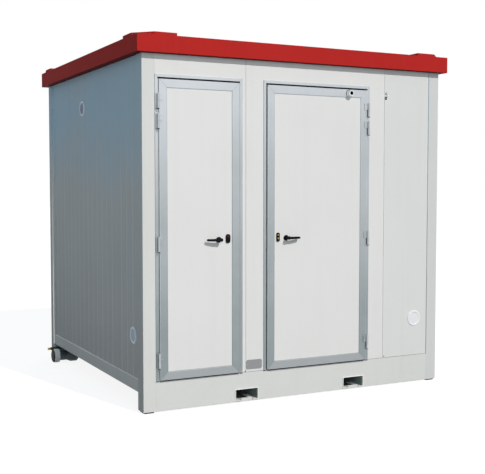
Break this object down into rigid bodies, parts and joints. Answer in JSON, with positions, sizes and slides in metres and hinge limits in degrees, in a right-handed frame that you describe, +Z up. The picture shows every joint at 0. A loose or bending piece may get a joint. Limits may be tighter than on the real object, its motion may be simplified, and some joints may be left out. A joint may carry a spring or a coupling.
{
  "type": "portable site cabin",
  "caption": "Flat-roofed portable site cabin of pale sandwich panels with a red fascia, two outward opening doors, lever handles, fork tunnels, vents and water connections.",
  "frame": {"origin": "on the ground, under the middle of the whole part's box", "axes": "+X to the right as the front is seen, +Y from the front to the rear, +Z up"},
  "size_m": [2.513, 2.386, 2.488],
  "materials": {
    "frame_paint": "satin grey-white paint",
    "joist_steel": "galvanised",
    "foot_steel": "dark, worn",
    "floor_board": "coated board",
    "wall_paint": "coated sheet on a foam core",
    "roof_sheet": "galvanised sheet on a foam core",
    "fascia_paint": "satin red paint",
    "door_aluminium": "anodised",
    "hinge_metal": "satin",
    "holder_chrome": "polished",
    "vent_plastic": "moulded white",
    "black_plastic": "moulded black",
    "coupling_plastic": "moulded grey",
    "pipe_plastic": "moulded dark grey",
    "nozzle_brass": "turned"
  },
  "bodies": {
    "cabin": {"front_base_beam": "frame_paint", "rear_base_beam": "frame_paint", "side_base_beams": "frame_paint", "floor_joists": "joist_steel", "fork_tunnels": "frame_paint", "foot_plates": "foot_steel", "floor_deck": "floor_board", "front_left_post": "frame_paint", "front_right_post": "frame_paint", "rear_left_post": "frame_paint", "rear_right_post": "frame_paint", "front_headers": "wall_paint", "front_uprights": "wall_paint", "front_end_panel": "wall_paint", "left_wall": "wall_paint", "right_wall": "wall_paint", "rear_wall": "wall_paint", "roof_panel": "roof_sheet", "roof_fascia": "fascia_paint", "roof_corner_plates": "fascia_paint", "left_door_frame": "door_aluminium", "right_door_frame": "door_aluminium", "left_frame_hinges": "hinge_metal", "right_frame_hinges": "hinge_metal", "holder_peg": "holder_chrome", "front_vent": "vent_plastic", "left_vents": "vent_plastic", "waste_pipe": "black_plastic", "waste_coupling": "coupling_plastic", "waste_cap": "black_plastic", "water_pipe": "pipe_plastic", "water_nozzle": "nozzle_brass"},
    "left_door": {"left_door_border": "door_aluminium", "left_door_panel": "wall_paint", "left_leaf_hinges": "hinge_metal", "left_lock": "black_plastic"},
    "left_lever": {"left_handle": "black_plastic"},
    "right_door": {"right_door_border": "door_aluminium", "right_door_panel": "wall_paint", "right_leaf_hinges": "hinge_metal", "right_lock": "black_plastic", "holder_socket": "holder_chrome"},
    "right_lever": {"right_handle": "black_plastic"}
  },
  "joints": [
    {"name": "left_door_hinge", "type": "hinge", "parent": "cabin", "child": "left_door", "pos_m": [-1.0845, -1.157, 1.137], "axis": [0, 0, -1], "range_deg": [0, 170]},
    {"name": "left_lever_turn", "type": "hinge", "parent": "left_door", "child": "left_lever", "pos_m": [-0.6485, -1.134, 1.137], "axis": [0, -1, 0], "range_deg": [0, 40], "stiffness_Nm_per_rad": 1.5, "springref_deg": -45.84},
    {"name": "right_door_hinge", "type": "hinge", "parent": "cabin", "child": "right_door", "pos_m": [0.5585, -1.157, 1.137], "axis": [0, 0, 1], "range_deg": [0, 170]},
    {"name": "right_lever_turn", "type": "hinge", "parent": "right_door", "child": "right_lever", "pos_m": [-0.1265, -1.134, 1.137], "axis": [0, 1, 0], "range_deg": [0, 40], "stiffness_Nm_per_rad": 1.5, "springref_deg": -45.84}
  ]
}
